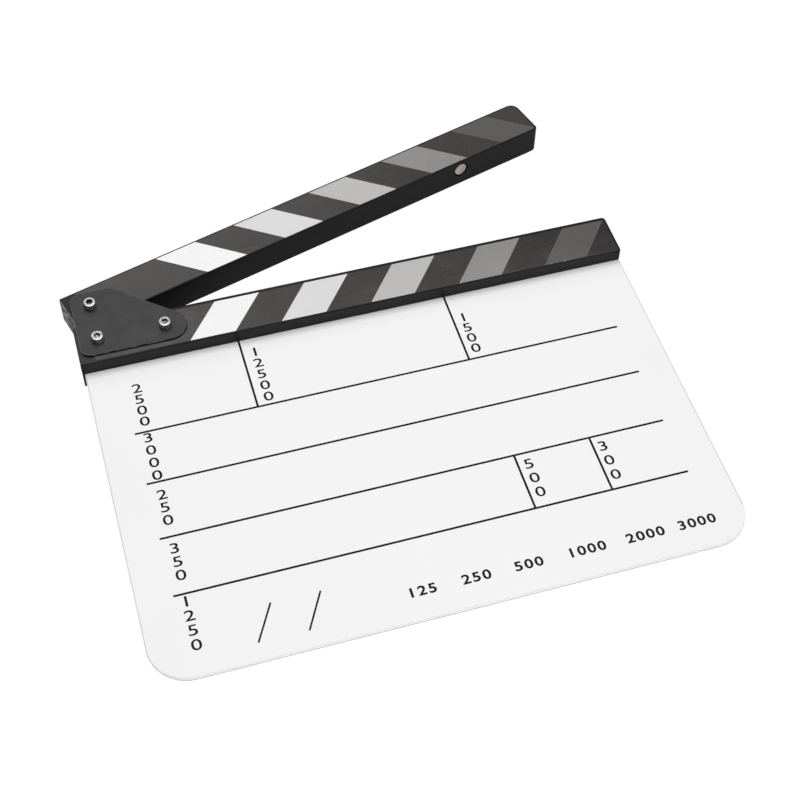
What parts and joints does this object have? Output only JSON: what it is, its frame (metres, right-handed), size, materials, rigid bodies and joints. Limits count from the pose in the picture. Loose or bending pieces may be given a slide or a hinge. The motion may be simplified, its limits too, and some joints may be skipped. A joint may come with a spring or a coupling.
{
  "type": "clapperboard",
  "caption": "Dry-erase clapperboard: a white slate held in a striped stick, with a second striped stick that swings on a bolted hinge plate and claps shut on magnets.",
  "frame": {"origin": "middle of the slate's bottom edge, at half the sheet's thickness", "axes": "+X along the slate's width towards the free end of the sticks, +Y up the slate towards the sticks, +Z out of the written face, so the part lies on its back"},
  "size_m": [0.2543, 0.2646, 0.028],
  "materials": {
    "white_acrylic": "satin white dry-erase face",
    "black_wood": "matt black paint",
    "stripe_film": "printed film with slanted stripes in a grey scale",
    "black_plate": "satin black powder coat",
    "stainless_steel": "polished stainless",
    "nylon": "natural nylon",
    "nickel_magnet": "nickel plated"
  },
  "bodies": {
    "slate": {"slate_board": "white_acrylic", "lower_stick": "black_wood", "lower_stripe_label": "stripe_film", "lower_magnet": "nickel_magnet", "front_hinge_plate": "black_plate", "back_hinge_plate": "black_plate", "pivot_screw": "stainless_steel", "pivot_washer": "stainless_steel", "pivot_lock_nut": "stainless_steel", "pivot_nylon_ring": "nylon", "left_clamp_screw": "stainless_steel", "left_clamp_washer": "stainless_steel", "left_clamp_lock_nut": "stainless_steel", "left_clamp_nylon_ring": "nylon", "right_clamp_screw": "stainless_steel", "right_clamp_washer": "stainless_steel", "right_clamp_lock_nut": "stainless_steel", "right_clamp_nylon_ring": "nylon"},
    "clapper": {"upper_stick": "black_wood", "upper_stripe_label": "stripe_film", "upper_magnet": "nickel_magnet"}
  },
  "joints": [
    {"name": "clap_hinge", "type": "hinge", "parent": "slate", "child": "clapper", "pos_m": [-0.1162, 0.189, 0], "axis": [0, 0, 1], "range_deg": [-15.9, 29.2]}
  ]
}
